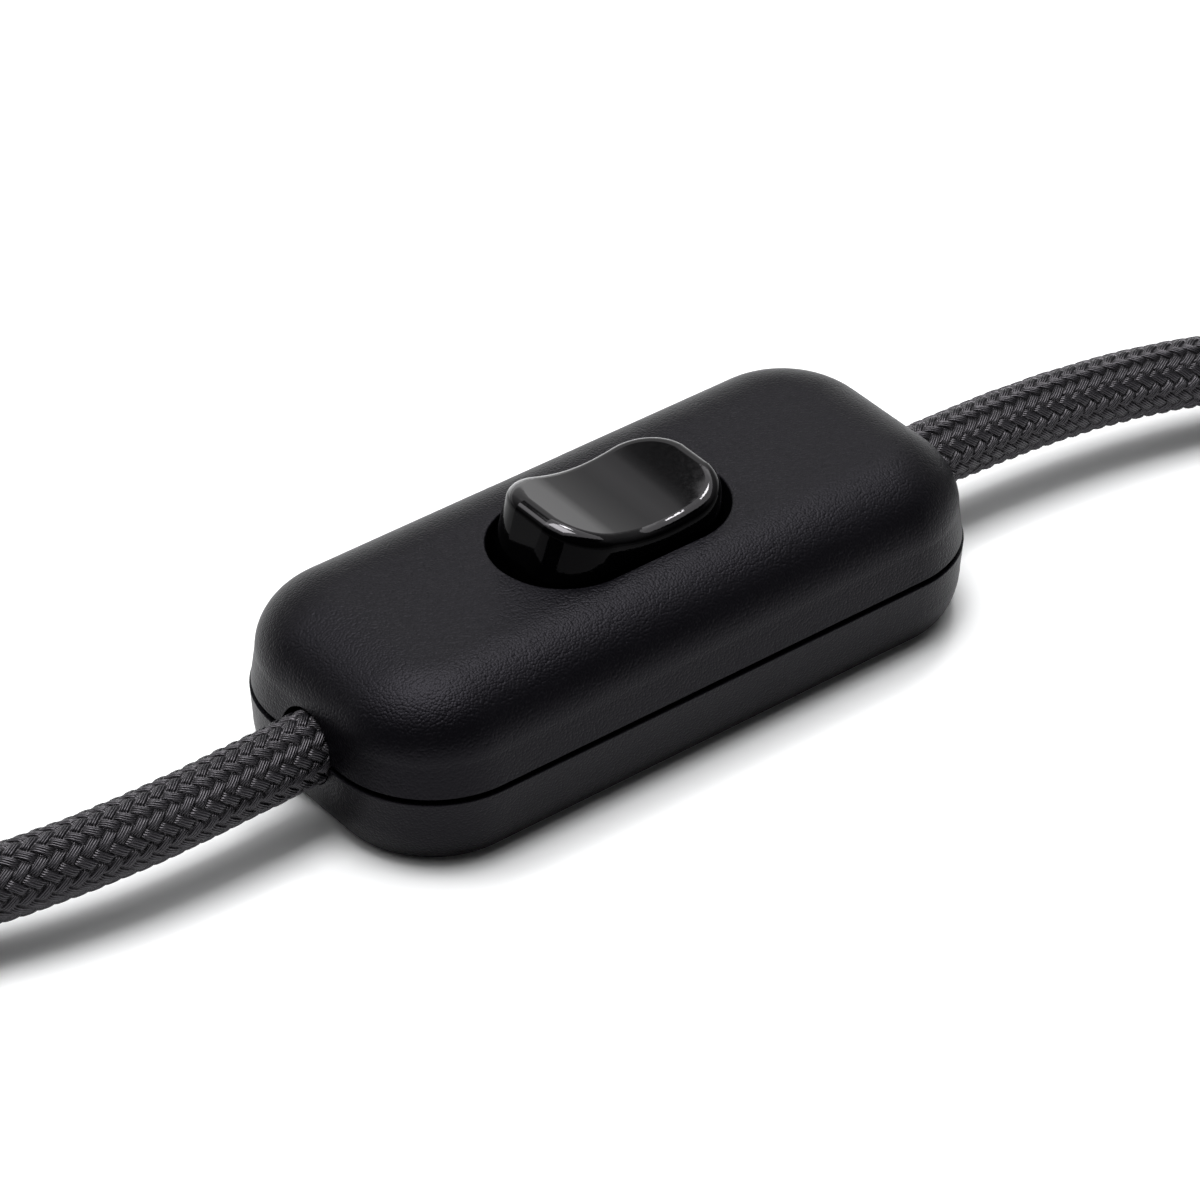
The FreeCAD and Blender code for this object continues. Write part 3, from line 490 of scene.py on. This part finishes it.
def metal(name, color, rough, brushed=(1.0, 1.0, 1.0), scale=900.0):
    t = Tree(name)
    co = t.split(t.coords())
    v = t.join(t.m("MULTIPLY", co[0], brushed[0]), t.m("MULTIPLY", co[1], brushed[1]), t.m("MULTIPLY", co[2], brushed[2]))
    n = t.noise(v, scale, 3.0, 0.6)
    stain = t.noise(t.coords(), 210.0, 3.0, 0.6)
    return t.set(color=t.ramp(stain, [(0.3, tuple(c * 0.86 for c in color)), (0.7, color)]),
                 rough=t.map(n, 0.3, 0.7, rough * 0.8, rough * 1.3), metal=1.0,
                 normal=t.bump(n, 0.35, 0.00001))


STEEL = metal("steel", (0.56, 0.57, 0.58), 0.28, (1, 1, 0.1))
BRASS = metal("brass", (0.66, 0.46, 0.19), 0.26, (0.1, 1, 1))
SILVER = metal("silver", (0.78, 0.77, 0.73), 0.3)
COPPER = metal("copper", (0.62, 0.28, 0.15), 0.35, (0.06, 1, 1), 2600.0)
NICKEL = metal("nickel", (0.72, 0.70, 0.66), 0.16, (0.08, 1, 1), 1400.0)
TIN = metal("tin", (0.66, 0.66, 0.67), 0.3, (0.1, 1, 1))


def sleeve_like(name, color, rough, bump=0.000008, scale=2400.0):
    t = Tree(name)
    co = t.coords()
    n = t.noise(co, scale, 2.0, 0.5)
    w = t.noise(co, 120.0, 2.0, 0.5)
    return t.set(color=t.ramp(w, [(0.3, tuple(c * 0.85 for c in color)), (0.7, tuple(c * 1.12 for c in color))]),
                 rough=t.map(n, 0.3, 0.7, rough - 0.05, rough + 0.06), normal=t.bump(n, 1.0, bump))


NYLON = sleeve_like("nylon", (0.58, 0.55, 0.49), 0.42)
BROWN = sleeve_like("core_brown", (0.085, 0.034, 0.014), 0.34)
BLUE = sleeve_like("core_blue", (0.02, 0.10, 0.36), 0.34)
BLACK_SLEEVE = sleeve_like("black_sleeve", (0.012, 0.012, 0.013), 0.38)
PLUG = moulded("plug_black", (0.0135, 0.0135, 0.0145), 0.42, 2600.0, 0.00002)


def braided(name, dark, light, rough, gloss):
    """Braid of flat bundles, two over two, drawn from the cord's own coordinates."""
    t = Tree(name)
    uv = t.split(t.uv())
    s, v = uv[0], uv[1]
    fine = t.t.nodes.new("ShaderNodeAttribute")
    fine.attribute_name = "fine"
    wob = t.noise(t.coords(), 700.0, 2.0, 0.5)
    X = t.m("ADD", v, t.m("MULTIPLY", t.m("SUBTRACT", wob, 0.5), 0.16))
    Y = s
    a = t.m("MULTIPLY", t.m("SUBTRACT", X, Y), 0.5)
    b = t.m("MULTIPLY", t.m("ADD", X, Y), 0.5)
    i = t.m("FLOOR", t.m("ADD", a, 0.5))
    j = t.m("FLOOR", t.m("ADD", b, 0.5))
    cm = t.m("FLOORED_MODULO", t.m("ADD", i, j), 4.0)
    is_s = t.m("LESS_THAN", cm, 1.5)
    k = t.m("FLOORED_MODULO", cm, 2.0)
    da, db = t.m("SUBTRACT", a, i), t.m("SUBTRACT", b, j)
    not_s = t.m("SUBTRACT", 1.0, is_s)
    w = t.m("ADD", t.m("MULTIPLY", is_s, da), t.m("MULTIPLY", not_s, db))
    u = t.m("ADD", t.m("MULTIPLY", is_s, db), t.m("MULTIPLY", not_s, da))
    u = t.m("ADD", t.m("SUBTRACT", u, 0.5), k)
    aw = t.m("MULTIPLY", t.m("ABSOLUTE", w), 2.0)
    across = t.m("SUBTRACT", 1.0, t.m("POWER", aw, 3.6), clamp=True)
    along = t.m("SUBTRACT", 1.0, t.m("POWER", t.m("ABSOLUTE", u), 3.6), clamp=True)
    h = t.m("MULTIPLY", t.m("POWER", across, 0.6), t.m("POWER", along, 0.7))
    # threads of one bundle, a little uneven
    q = t.m("MULTIPLY", t.m("ADD", w, t.m("MULTIPLY", t.m("SUBTRACT", wob, 0.5), 0.10)), float(STRANDS))
    f = t.m("FRACT", q)
    f = t.m("SUBTRACT", t.m("MULTIPLY", f, 2.0), 1.0)
    thread = t.m("SUBTRACT", 1.0, t.m("MULTIPLY", f, f))
    key = t.m("ADD", t.m("MULTIPLY", i, 7.13), t.m("MULTIPLY", j, 3.37))
    key = t.m("FRACT", t.m("MULTIPLY", t.m("SINE", key), 4375.85))
    fibre = t.noise(t.coords(), 9000.0, 2.0, 0.6)
    # painted shade: the colour is darkened in the gaps between bundles and towards the edges of each thread, down to a
    # tenth of the dark colour in the deepest gaps, then varied by a random tone per bundle and along the fibres
    gap_shade_and_tone = t.m("MULTIPLY", t.m("POWER", h, 0.8), t.m("ADD", 0.30, t.m("MULTIPLY", thread, 0.70)))
    gap_shade_and_tone = t.m("MULTIPLY", gap_shade_and_tone, t.m("ADD", 0.8, t.m("MULTIPLY", key, 0.3)))
    gap_shade_and_tone = t.m("MULTIPLY", gap_shade_and_tone, t.m("ADD", 0.75, t.m("MULTIPLY", fibre, 0.5)))
    color = t.ramp(gap_shade_and_tone, [(0.0, tuple(c * 0.1 for c in dark)), (0.45, dark), (1.0, light)])
    coarse = t.m("SUBTRACT", 1.0, fine.outputs["Fac"])
    height = t.m("ADD", t.m("MULTIPLY", t.m("MULTIPLY", h, coarse), 0.00030),
                 t.m("MULTIPLY", t.m("MULTIPLY", thread, t.m("POWER", h, 0.5)), 0.00007))
    height = t.m("ADD", height, t.m("MULTIPLY", fibre, 0.00001))
    return t.set(color=color, rough=t.map(t.m("ADD", thread, fibre), 0.3, 1.5, rough + 0.12, rough),
                 spec=gloss, normal=t.bump(height, 1.0, 1.0), spec_tint=(0.97, 0.92, 1.0), sheen=0.015, sheen_rough=0.45,
                 sheen_tint=(0.9, 0.9, 0.95))


CORD = braided("cord_braid", (0.0014, 0.0013, 0.0018), (0.0100, 0.0095, 0.0118), 0.27, 0.5)
dress(cord_left, CORD)
dress(cord_right, CORD)


def tape():
    """Woven tape with a looped pile."""
    t = Tree("tie_tape")
    co = t.coords()
    loops = t.voronoi(co, 1500.0, "F1")
    weave = t.noise(co, 2600.0, 3.0, 0.65)
    h = t.m("ADD", t.m("MULTIPLY", loops, 0.8), weave)
    return t.set(color=t.ramp(h, [(0.35, (0.022, 0.022, 0.024)), (1.1, (0.006, 0.006, 0.007))]), rough=0.85,
                 spec=0.3, normal=t.bump(h, 1.0, 0.00012), sheen=0.25, sheen_rough=0.5)


TAPE = tape()

wear(["lower_shell", "upper_shell"], HOUSING)
wear(["rocker"], ROCKER)
wear(["shell_screws", "plunger_spring", "terminal_screws", "neutral_screws", "clamp_screws"], STEEL)
wear(["plunger", "seesaw", "feed_terminal", "load_terminal", "neutral_terminal"], BRASS)
wear(["seesaw_contact", "load_contact"], SILVER)
wear(["stripped_ends"], COPPER)
wear(["cord_clamp_left", "cord_clamp_right"], NYLON)
wear(["core_brown_left", "core_brown_right", "end_core_brown"], BROWN)
wear(["core_blue_left", "core_blue_right", "end_core_blue"], BLUE)
wear(["cord_left", "hank_left", "cord_left_tail", "cord_right", "hank_right", "cord_right_tail"], CORD)
wear(["tie_left", "tie_right"], TAPE)
wear(["plug_body", "plug_strain_relief"], PLUG)
wear(["plug_pins"], NICKEL)
wear(["pin_sleeves", "end_sleeve"], BLACK_SLEEVE)
wear(["end_ferrules"], TIN)

# ------------------------------------------------------------- floor and light
me = bpy.data.meshes.new("floor")
ring = [(9.0 * math.cos(2 * math.pi * i / 64), 9.0 * math.sin(2 * math.pi * i / 64), 0.0) for i in range(64)]
me.from_pydata(ring, [], [list(range(64))])
floor = bpy.data.objects.new("floor", me)
bpy.context.scene.collection.objects.link(floor)
ft = Tree("floor")
fn = ft.noise(ft.coords(), 900.0, 3.0, 0.6)
ft.set(color=(0.86, 0.865, 0.87), rough=0.6, spec=0.25, normal=ft.bump(fn, 0.25, 0.00004))
dress(floor, ft.mat)


def softbox(name, direction, distance, size_x, size_y, power, color=(1, 1, 1)):
    data = bpy.data.lights.new(name, "AREA")
    data.shape = "RECTANGLE"
    data.size = size_x
    data.size_y = size_y
    data.energy = power
    data.color = color
    ob = bpy.data.objects.new(name, data)
    bpy.context.scene.collection.objects.link(ob)
    d = Vector(direction).normalized()
    ob.location = d * distance
    ob.rotation_mode = "QUATERNION"
    ob.rotation_quaternion = d.to_track_quat("Z", "Y")
    return ob


def overhead(name, gx, gy, wx, wy, height, radiance):
    """A light facing the object, placed by its slopes gx and gy, of wx by wy at height 1."""
    d = Vector((gx, gy, 1.0))
    reach = height * d.length
    sx, sy = wx * height, wy * height
    ob = softbox(name, d, reach, sx, sy, radiance * math.pi * sx * sy)
    y = d.normalized()
    side_x = Vector((1, 0, 0)) - y * y.x
    side_x.normalize()
    ob.rotation_quaternion = Matrix((side_x, y.cross(side_x), y)).transposed().to_quaternion()
    return ob


overhead("key", -0.03, 0.16, 0.58, 0.50, 1.2, 10.0)
overhead("strip", 0.50, 0.38, 0.20, 0.17, 1.15, 24.0)
overhead("halo", 0.05, 0.18, 2.0, 1.13, 1.45, 1.42)
overhead("left_back", -0.46, 0.74, 0.5, 0.7, 1.1, 2.4)

world = bpy.data.worlds.new("studio")
bpy.context.scene.world = world
world.use_nodes = True
wt = world.node_tree
wt.nodes.clear()
w_out = wt.nodes.new("ShaderNodeOutputWorld")
bg = wt.nodes.new("ShaderNodeBackground")
wt.links.new(bg.outputs[0], w_out.inputs[0])
tc = wt.nodes.new("ShaderNodeTexCoord")
sep = wt.nodes.new("ShaderNodeSeparateXYZ")
wt.links.new(tc.outputs["Generated"], sep.inputs[0])


def wmath(op, a, b=None, clamp=False):
    n = wt.nodes.new("ShaderNodeMath")
    n.operation = op
    n.use_clamp = clamp
    for s, v in zip(n.inputs, (a, b)):
        if isinstance(v, bpy.types.NodeSocket):
            wt.links.new(v, s)
        elif v is not None:
            s.default_value = v
    return n.outputs[0]


def wramp(fac, stops):
    n = wt.nodes.new("ShaderNodeValToRGB")
    wt.links.new(fac, n.inputs[0])
    r = n.color_ramp
    while len(r.elements) > 1:
        r.elements.remove(r.elements[-1])
    for k, (p, v) in enumerate(stops):
        e = r.elements[0] if k == 0 else r.elements.new(p)
        e.position = p
        e.color = (v, v, v, 1.0)
    return n.outputs[0]


# a pale wall behind the object, dimmer to both sides, and next to nothing in front
azimuth = wmath("ADD", wmath("MULTIPLY", wmath("ARCTAN2", sep.outputs[1], sep.outputs[0]), 0.5 / math.pi), 0.5)
ROUND = [(-180, 0.02), (-62, 0.02), (-45, 0.09), (-33, 0.20), (8, 0.22), (28, 0.30), (38, 0.70), (78, 0.70),
         (88, 0.42), (112, 0.32), (135, 0.26), (152, 0.04), (180, 0.02)]
round_about = wramp(azimuth, [((a + 180.0) / 360.0, v) for a, v in ROUND])
lift = wramp(wmath("MULTIPLY", sep.outputs[2], 1.0, clamp=True), [(0.0, 0.80), (0.50, 0.85), (0.62, 1.12), (0.685, 1.0), (0.705, 0.5), (0.728, 0.15), (1.0, 0.12)])
# a low pale horizon all round, so that no view has a dark background
horizon = wramp(wmath("MULTIPLY", sep.outputs[2], 1.0, clamp=True), [(0.0, 0.60), (0.13, 0.50), (0.20, 0.0), (1.0, 0.0)])
glow = wmath("ADD", wmath("MULTIPLY", round_about, lift), horizon)
wt.links.new(glow, bg.inputs["Strength"])
bg.inputs["Color"].default_value = (1, 1, 1, 1)
